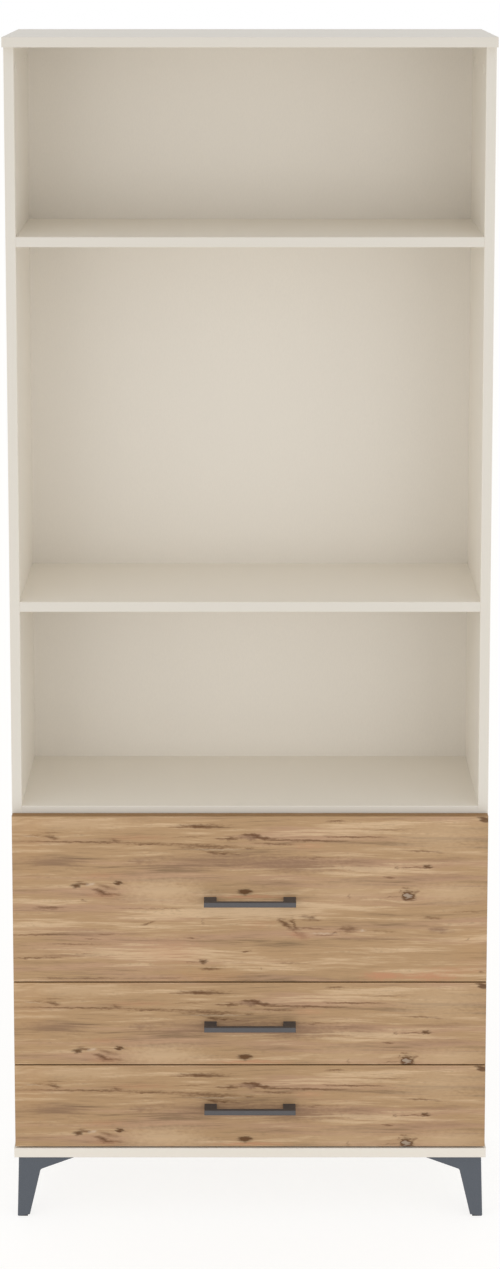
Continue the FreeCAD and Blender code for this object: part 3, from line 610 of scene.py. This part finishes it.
def lathe(profile, carve=None, segments=48):
    """Surface of revolution round Z through rings of (radius, height), closed at both ends by fans.

    The rings run from the lower end outwards and up to the middle of the face. carve(x, y, z)
    gives how far each point sinks, for slots and recesses in the face."""
    radii, heights = np.array(profile, float).T
    angles = np.linspace(0.0, 2.0 * math.pi, segments, endpoint=False)
    x = radii[:, None] * np.cos(angles)
    y = radii[:, None] * np.sin(angles)
    z = np.repeat(heights[:, None], segments, axis=1)
    rings = np.stack([x, y, z], axis=-1).reshape(-1, 3)
    points = np.vstack([rings, [[0.0, 0.0, heights[0]], [0.0, 0.0, heights[-1]]]])
    if carve:
        points[:, 2] -= carve(points[:, 0], points[:, 1], points[:, 2])
    ring = np.arange(len(radii) * segments).reshape(len(radii), segments)
    after = np.roll(ring, -1, axis=1)
    quads = np.stack([ring[:-1], after[:-1], after[1:], ring[1:]], axis=-1).reshape(-1, 4)
    low_end = np.full(segments, len(rings))
    low_fan = np.stack([low_end, after[0], ring[0]], axis=-1)
    top_fan = np.stack([low_end + 1, ring[-1], after[-1]], axis=-1)
    return points, quads, np.vstack([low_fan, top_fan])


def ramp(value):
    """Smooth step from 0 to 1 of a value between 0 and 1."""
    t = np.clip(value, 0.0, 1.0)
    return t * t * (3.0 - 2.0 * t)


def cross_recess(width, reach, depth, above):
    """Cross of two slots that taper towards their ends, cut only into points above a height."""
    def carve(x, y, z):
        narrow = np.minimum(abs(x), abs(y))
        wide = np.maximum(abs(x), abs(y))
        slot = ramp((width - narrow) / (0.35 * width) + 0.5)
        taper = ramp((reach - wide) / (0.6 * reach))
        return np.where(z > above, depth * slot * taper, 0.0)
    return carve


def disc_rings(radius, height, dome=0.0, count=14):
    """Rings of a face from its rim to its middle, which rises by dome on a parabola."""
    radii = radius * np.linspace(1.0, 0.04, count)
    return np.stack([radii, height + dome * (1.0 - (radii / radius) ** 2)], axis=-1).tolist()


def pan_head_screw(shank, length):
    """Pan head over z 0, shank below it: a pointed pin, a rounded rim and a domed face."""
    head = 4.0 * MM
    profile = [(shank * 0.3, -length), (shank, -length + 2.0 * shank), (shank, 0.0),
               (head - 0.2 * MM, 0.0), (head, 0.15 * MM), (head, 0.8 * MM), (head - 0.3 * MM, 1.35 * MM)]
    profile += disc_rings(head - 0.7 * MM, 1.65 * MM, 0.5 * MM)
    return lathe(profile, cross_recess(0.45 * MM, 2.4 * MM, 1.4 * MM, 1.0 * MM))


def flat_head_screw(shank, length, head, rise):
    """Head with a flat face that lies a little over z 0, and a pointed pin below it."""
    profile = [(shank * 0.3, -length), (shank, -length + 2.0 * shank), (shank, 0.0), (head, 0.0)]
    profile += disc_rings(head * 0.97, rise)
    return lathe(profile, cross_recess(0.4 * MM, head * 0.62, rise * 0.9, rise * 0.5))


def cam_disc(radius, depth):
    """Cam whose face has a raised rim, a sunken floor, a cross slot and an arrow at the rim."""
    profile = [(radius * 0.9, -depth), (radius, -depth + 0.4 * MM), (radius, -0.3 * MM),
               (radius * 0.96, 0.0)]
    profile += disc_rings(radius * 0.93, 0.0, 0.0, 22)
    face = -0.2 * MM                    # what lies above this height belongs to the face
    cross = cross_recess(0.75 * MM, radius * 0.72, 2.6 * MM, face)

    def carve(x, y, z):
        floor = 0.5 * MM * ramp((radius * 0.84 - np.hypot(x, y)) / (0.4 * MM))
        arrow = 0.35 * MM * ramp((0.9 * MM - abs(y)) / (0.4 * MM))
        arrow *= (x > radius * 0.74) & (x < radius * 0.92)
        return cross(x, y, z) + np.where(z > face, floor + arrow, 0.0)
    return lathe(profile, carve, 64)


def bolt_pin(radius, length):
    """Plain pin from z 0 down."""
    return lathe([(radius * 0.9, -length), (radius, -length + 0.3 * MM), (radius, 0.0)], segments=24)


def ball():
    """Sphere of the ball's radius from rings at even angles."""
    angles = np.linspace(-0.47, 0.47, 15) * math.pi
    return lathe(BALL_RADIUS * np.stack([np.cos(angles), np.sin(angles)], axis=-1), segments=24)


def cover_cap():
    """Low cap with a rounded rim, over z 0."""
    rim = 8.6 * MM
    return lathe([(rim, 0.0), (rim, 0.45 * MM), (rim - 0.25 * MM, 0.75 * MM)]
                 + disc_rings(rim - 0.7 * MM, 0.9 * MM, 0.15 * MM, 6))


def assembled(name, parts, material, body, replaced=()):
    """One piece from turned parts, each given as (surface, place, direction of its Z axis)."""
    points = []
    faces = []
    start = 0
    for (part_points, quads, fans), place, direction in parts:
        turn = np.array(Vector(direction).to_track_quat("Z", "Y").to_matrix())
        points.append(part_points @ turn.T + np.array(place))
        faces += (quads + start).tolist() + (fans + start).tolist()
        start += len(part_points)
    mesh = bpy.data.meshes.new(name)
    mesh.from_pydata(np.vstack(points).tolist(), [], faces)
    mesh.shade_smooth()
    mesh.set_sharp_from_angle(angle=math.radians(38.0))
    mesh.materials.append(material)
    obj = bpy.data.objects.new(name, mesh)
    bpy.context.scene.collection.objects.link(obj)
    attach(obj, body)
    for node in replaced:
        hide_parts(node)


# Operators --------------------------------------------------------------------------------------


class BOOKCASE_OT_boards(bpy.types.Operator):
    """Finish the carcass boards and the drawer boxes in cream melamine, with sawn rear edges"""

    bl_idname = "bookcase.boards"
    bl_label = "Cream boards"

    def execute(self, context):
        settings = context.scene.bookcase_laminate
        # The factors of each kind paint light and shade onto the cream.
        for kind, (names, painted_light_front_band, faces, painted_light_upper_face) in CARCASS_BOARDS.items():
            board = melamine("cream_laminate_" + kind, settings, painted_light_front_band, faces, painted_light_upper_face,
                             sawn_rear=True)
            for name in names:
                finish(name, board)
        boxes = melamine("cream_laminate_drawers", settings)
        for drawer in DRAWERS:
            for wall in ("left_wall", "right_wall", "rear_wall"):
                finish(drawer + "_" + wall, boxes)
        return {"FINISHED"}


class BOOKCASE_OT_hardboards(bpy.types.Operator):
    """Finish the back panel and the drawer floors as lacquered hardboard"""

    bl_idname = "bookcase.hardboards"
    bl_label = "Back panel and drawer floors"

    def execute(self, context):
        board = hardboard("cream_hardboard", context.scene.bookcase_laminate)
        for name in ["back_panel"] + [drawer + "_floor" for drawer in DRAWERS]:
            finish(name, board)
        return {"FINISHED"}


class BOOKCASE_OT_fronts(bpy.types.Operator):
    """Print rustic oak on the drawer fronts, each cut from the same print"""

    bl_idname = "bookcase.fronts"
    bl_label = "Oak drawer fronts"

    def execute(self, context):
        settings = context.scene.bookcase_oak
        print_group = oak_print(settings)
        for drawer in DRAWERS:
            low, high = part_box(drawer + "_front")
            material = oak("knotty_oak_" + drawer, print_group, settings, (low.x, low.y, high.z))
            finish(drawer + "_front", material)
        return {"FINISHED"}


class BOOKCASE_OT_metalwork(bpy.types.Operator):
    """Coat the legs and handles, plate the rails and fittings, and finish the glides and dowels"""

    bl_idname = "bookcase.metalwork"
    bl_label = "Legs, handles, rails and fittings"

    def execute(self, context):
        settings = context.scene.bookcase_metal
        leg_coat = powder_coat("anthracite_powder_coat", settings.anthracite)
        handle_coat = powder_coat("graphite_powder_coat", settings.graphite)
        for name in NODES:
            if name.startswith(("leg_front", "leg_rear")):
                finish(name, leg_coat)
            elif name.endswith("_handle"):
                finish(name, handle_coat)
        zinc = drawn_metal("zinc_plating", settings.zinc, roughness=0.32)
        for name in NODES:
            if name.endswith(("_rail", "_screws", "_fittings", "_bolts", "_locks")):
                finish(name, zinc)
        cage = drawn_metal("oiled_strip", settings.cage, roughness=0.4)
        for drawer in DRAWERS:
            finish(drawer + "_ball_cages", cage)
        finish("leg_glides", moulded("black_nylon", (0.03, 0.03, 0.03), roughness=0.5))
        finish("dowels", beech("beech_dowel"))
        return {"FINISHED"}


class BOOKCASE_OT_cam_covers(bpy.types.Operator):
    """Press cream caps over the cams of the shelves and of the top panel"""

    bl_idname = "bookcase.cam_covers"
    bl_label = "Cam covers"

    def execute(self, context):
        cams_low, cams_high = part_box("cam_locks")
        cap = cover_cap()
        parts = []
        for y in (cams_low.y + CAM_RADIUS, cams_high.y - CAM_RADIUS):
            for shelf in ("drawer_deck", "middle_shelf", "upper_shelf"):
                low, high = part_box(shelf)
                for x in (low.x + CAM_SETBACK, high.x - CAM_SETBACK):
                    parts.append((cap, (x, y, low.z), (0, 0, -1)))
            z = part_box("top_panel")[0].z - CAM_SETBACK
            parts.append((cap, (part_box("left_side")[1].x, y, z), (1, 0, 0)))
            parts.append((cap, (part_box("right_side")[0].x, y, z), (-1, 0, 0)))
        material = moulded("cream_cap_plastic", context.scene.bookcase_laminate.cream, roughness=0.4)
        assembled("cam_covers", parts, material, "carcass")
        return {"FINISHED"}


class BOOKCASE_OT_screws(bpy.types.Operator):
    """Turn the screws of the legs, rails, handles and drawer corners, with cross recesses"""

    bl_idname = "bookcase.screws"
    bl_label = "Screws"

    def execute(self, context):
        material = drawn_metal("zinc_screws", context.scene.bookcase_metal.zinc, roughness=0.28)
        flat = flat_head_screw(shank=2.5 * MM, length=10.0 * MM, head=3.5 * MM, rise=0.5 * MM)
        corner = flat_head_screw(shank=2.0 * MM, length=34.0 * MM, head=3.8 * MM, rise=0.06 * MM)
        leg_screw = pan_head_screw(shank=2.0 * MM, length=14.5 * MM)
        handle_screw = pan_head_screw(shank=2.0 * MM, length=26.0 * MM)
        assembled("leg_fixings", [(leg_screw, place, (0, 0, -1)) for place in self.leg_places()],
                  material, "carcass", ["leg_screws"])
        outer = [(flat, place, inward) for drawer in DRAWERS
                 for place, inward in self.rail_places(drawer, "outer")]
        assembled("rail_fixings", outer, material, "carcass", ["rail_screws"])
        for drawer in DRAWERS:
            inner = [(flat, place, outward) for place, outward in self.rail_places(drawer, "inner")]
            corners = [(corner, place, outward) for place, outward in self.corner_places(drawer)]
            assembled(drawer + "_wood_screws", inner + corners, material, drawer,
                      [drawer + "_screws"])
            handles = [(handle_screw, place, (0, 1, 0)) for place in self.handle_places(drawer)]
            assembled(drawer + "_handle_fixings", handles, material, drawer,
                      [drawer + "_handle_screws"])
        return {"FINISHED"}

    @staticmethod
    def leg_places():
        """Under the plate of each leg, counted from the outer corner of the leg."""
        for rear in ("front", "rear"):
            for side in SIDES:
                low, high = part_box("leg_%s_%s" % (rear, side))
                for x, y in LEG_SCREW_SPOTS:
                    yield (low.x + x if side == "left" else high.x - x,
                           low.y + y if rear == "front" else high.y - y, high.z - LEG_STEEL)

    @staticmethod
    def rail_places(drawer, member):
        """In the web of a member: the outer one faces the drawer, the inner one the side panel."""
        for side in SIDES:
            low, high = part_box("%s_%s_%s_rail" % (drawer, side, member))
            inward = 1 if side == "left" else -1
            if member == "outer":
                x = low.x + RAIL_STEEL if side == "left" else high.x - RAIL_STEEL
            else:
                x = high.x - RAIL_STEEL if side == "left" else low.x + RAIL_STEEL
            facing = inward if member == "outer" else -inward
            for y in (low.y + RAIL_SCREW_INSETS[0], high.y - RAIL_SCREW_INSETS[1]):
                yield (x, y, (low.z + high.z) / 2), (facing, 0, 0)

    @staticmethod
    def corner_places(drawer):
        """Flush in the outer faces of the walls, at their rear ends."""
        for side in SIDES:
            low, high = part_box("%s_%s_wall" % (drawer, side))
            outward = -1 if side == "left" else 1
            x = low.x if side == "left" else high.x
            for z in (low.z + SMALL_CAM_RISE, high.z - SMALL_CAM_DROP):
                yield (x, high.y - CORNER_SCREW_INSET, z), (outward, 0, 0)

    @staticmethod
    def handle_places(drawer):
        """On the rear face of the front, behind the middle of each post."""
        low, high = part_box(drawer + "_handle")
        for x in (low.x + HANDLE_POST / 2, high.x - HANDLE_POST / 2):
            yield (x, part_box(drawer + "_front")[1].y, (low.z + high.z) / 2)


class BOOKCASE_OT_drawer_cams(bpy.types.Operator):
    """Turn the cams and bolts that hold the drawer walls to the fronts"""

    bl_idname = "bookcase.drawer_cams"
    bl_label = "Drawer cams"

    def execute(self, context):
        material = drawn_metal("zinc_cams", context.scene.bookcase_metal.zinc, roughness=0.4)
        cam = cam_disc(radius=6.0 * MM, depth=9.5 * MM)
        shank = bolt_pin(radius=3.0 * MM, length=SMALL_CAM_SETBACK - 6.1 * MM)
        thread = bolt_pin(radius=2.5 * MM, length=11.0 * MM)
        for drawer in DRAWERS:
            parts = []
            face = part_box(drawer + "_front")[1].y
            for side in SIDES:
                low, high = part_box("%s_%s_wall" % (drawer, side))
                inward = 1 if side == "left" else -1
                inner = high.x if side == "left" else low.x
                for z in (low.z + SMALL_CAM_RISE, high.z - SMALL_CAM_DROP):
                    middle = (low.x + high.x) / 2
                    parts.append((cam, (inner, face + SMALL_CAM_SETBACK, z), (inward, 0, 0)))
                    parts.append((shank, (middle, face, z), (0, -1, 0)))
                    parts.append((thread, (middle, face, z), (0, 1, 0)))
            assembled(drawer + "_cam_set", parts, material, drawer,
                      [drawer + "_cam_fittings"])
        return {"FINISHED"}


class BOOKCASE_OT_balls(bpy.types.Operator):
    """Fill the cages of the rails with balls"""

    bl_idname = "bookcase.balls"
    bl_label = "Rail balls"

    def execute(self, context):
        material = drawn_metal("chrome_steel", (0.7, 0.7, 0.72), roughness=0.18)
        sphere = ball()
        inner_faces = (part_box("left_side")[1].x + BALL_OUT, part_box("right_side")[0].x - BALL_OUT)
        for drawer in DRAWERS:
            low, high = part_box(drawer + "_ball_cages")
            middle = (low.z + high.z) / 2
            margin = 3.0 * BALL_RADIUS
            parts = []
            for x in inner_faces:
                for z in (middle - BALL_RISE, middle + BALL_RISE):
                    for y in np.linspace(low.y + margin, high.y - margin, BALLS_PER_ROW):
                        parts.append((sphere, (x, y, z), (0, 0, 1)))
            assembled(drawer + "_balls", parts, material, drawer + "_cages")
        return {"FINISHED"}


class BOOKCASE_OT_stage(bpy.types.Operator):
    """Set the floor, the even light, the softboxes and the camera"""

    bl_idname = "bookcase.stage"
    bl_label = "Floor, light and camera"

    def execute(self, context):
        scene = context.scene
        settings = scene.bookcase_stage
        scene.view_settings.view_transform = "Standard"
        self.floor()
        self.world(scene, settings)
        self.softboxes(scene, settings)
        self.camera(scene, settings)
        return {"FINISHED"}

    @staticmethod
    def two_ways(n, light, look, output):
        """Lights with one shader, and shows the other to camera, glossy and transmission rays."""
        path = n.add("ShaderNodeLightPath")
        seen = path.outputs["Is Camera Ray"]
        for other in ("Is Glossy Ray", "Is Transmission Ray"):
            seen = n.math("MAXIMUM", seen, path.outputs[other])
        pick = n.add("ShaderNodeMixShader")
        n.link(seen, pick.inputs[0])
        n.link(light.outputs[0], pick.inputs[1])
        n.link(look.outputs[0], pick.inputs[2])
        n.link(pick.outputs[0], n.add(output).inputs["Surface"])

    def floor(self):
        half = FLOOR_HALF
        mesh = bpy.data.meshes.new("floor")
        mesh.from_pydata([(-half, -half, 0), (half, -half, 0), (half, half, 0), (-half, half, 0)],
                         [], [(0, 1, 2, 3)])
        obj = bpy.data.objects.new("floor", mesh)
        bpy.context.scene.collection.objects.link(obj)
        material = bpy.data.materials.new("pale_floor")
        material.use_nodes = True
        n = Nodes(material.node_tree)
        n.tree.nodes.clear()
        bounce = n.add("ShaderNodeBsdfDiffuse")
        bounce.inputs["Color"].default_value = FLOOR_BOUNCE
        shaded = n.add("ShaderNodeBsdfDiffuse")
        shaded.inputs["Color"].default_value = FLOOR_SHADE
        glow = n.add("ShaderNodeEmission")
        glow.inputs["Color"].default_value = FLOOR_GLOW
        glow.inputs["Strength"].default_value = FLOOR_GLOW_STRENGTH
        both = n.add("ShaderNodeAddShader")
        n.link(shaded.outputs[0], both.inputs[0])
        n.link(glow.outputs[0], both.inputs[1])
        self.two_ways(n, bounce, both, "ShaderNodeOutputMaterial")
        mesh.materials.append(material)

    def world(self, scene, settings):
        world = bpy.data.worlds.new("even_light")
        scene.world = world
        world.use_nodes = True
        n = Nodes(world.node_tree)
        n.tree.nodes.clear()
        sky = n.add("ShaderNodeBackground")
        sky.inputs["Strength"].default_value = settings.sky
        white = n.add("ShaderNodeBackground")
        white.inputs["Strength"].default_value = 1.0
        for background in (sky, white):
            background.inputs["Color"].default_value = (1.0, 1.0, 1.0, 1.0)
        self.two_ways(n, sky, white, "ShaderNodeOutputWorld")

    @staticmethod
    def softboxes(scene, settings):
        """Two low softboxes in front and two further out, aimed at the middle of the bookcase."""
        for kind, (x, y, z), watts in (("front", FRONT_SOFTBOX, settings.front_boxes),
                                       ("wide", WIDE_SOFTBOX, settings.wide_boxes)):
            for side in SIDES:
                name = "%s_%s_softbox" % (kind, side)
                light = bpy.data.lights.new(name, "AREA")
                light.shape = "SQUARE"
                light.size = SOFTBOX_SIZE
                light.energy = watts
                obj = bpy.data.objects.new(name, light)
                scene.collection.objects.link(obj)
                obj.location = (-x if side == "left" else x, y, z)
                aim = Vector(SOFTBOX_AIM) - obj.location
                obj.rotation_euler = aim.to_track_quat("-Z", "Y").to_euler()
                obj.visible_camera = False

    @staticmethod
    def camera(scene, settings):
        camera = bpy.data.cameras.new("camera")
        camera.sensor_width = SENSOR_WIDTH
        camera.lens = settings.lens
        camera.shift_y = settings.shift
        camera.clip_start, camera.clip_end = CAMERA_RANGE
        obj = bpy.data.objects.new("camera", camera)
        scene.collection.objects.link(obj)
        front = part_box("drawer_1_front")[0].y
        obj.location = (0.0, front - settings.eye_distance, settings.eye_height)
        obj.rotation_euler = (math.radians(90.0) - settings.pitch, 0.0, 0.0)
        scene.camera = obj


OPERATORS = (BOOKCASE_OT_boards, BOOKCASE_OT_hardboards, BOOKCASE_OT_fronts, BOOKCASE_OT_metalwork,
             BOOKCASE_OT_cam_covers, BOOKCASE_OT_screws, BOOKCASE_OT_drawer_cams, BOOKCASE_OT_balls,
             BOOKCASE_OT_stage)

SETTINGS = (
    ("bookcase_laminate", LaminateSettings),
    ("bookcase_oak", OakSettings),
    ("bookcase_metal", MetalSettings),
    ("bookcase_stage", StageSettings),
)


class BOOKCASE_PT_looks(bpy.types.Panel):
    """Sidebar panel that lists the steps and their settings"""

    bl_idname = "BOOKCASE_PT_looks"
    bl_label = "Bookcase"
    bl_space_type = "VIEW_3D"
    bl_region_type = "UI"
    bl_category = "Bookcase"

    def draw(self, context):
        layout = self.layout
        for operator in OPERATORS:
            layout.operator(operator.bl_idname)
        for name, group in SETTINGS:
            column = layout.column()
            for prop in group.__annotations__:
                column.prop(getattr(context.scene, name), prop)


def register():
    for name, group in SETTINGS:
        bpy.utils.register_class(group)
        setattr(bpy.types.Scene, name, PointerProperty(type=group))
    for cls in OPERATORS:
        bpy.utils.register_class(cls)
    bpy.utils.register_class(BOOKCASE_PT_looks)


def unregister():
    bpy.utils.unregister_class(BOOKCASE_PT_looks)
    for cls in reversed(OPERATORS):
        bpy.utils.unregister_class(cls)
    for name, group in reversed(SETTINGS):
        delattr(bpy.types.Scene, name)
        bpy.utils.unregister_class(group)


def main():
    register()
    bpy.ops.bookcase.boards()
    bpy.ops.bookcase.hardboards()
    bpy.ops.bookcase.fronts()
    bpy.ops.bookcase.metalwork()
    bpy.ops.bookcase.cam_covers()
    bpy.ops.bookcase.screws()
    bpy.ops.bookcase.drawer_cams()
    bpy.ops.bookcase.balls()
    bpy.ops.bookcase.stage()


if __name__ == "__main__":
    main()
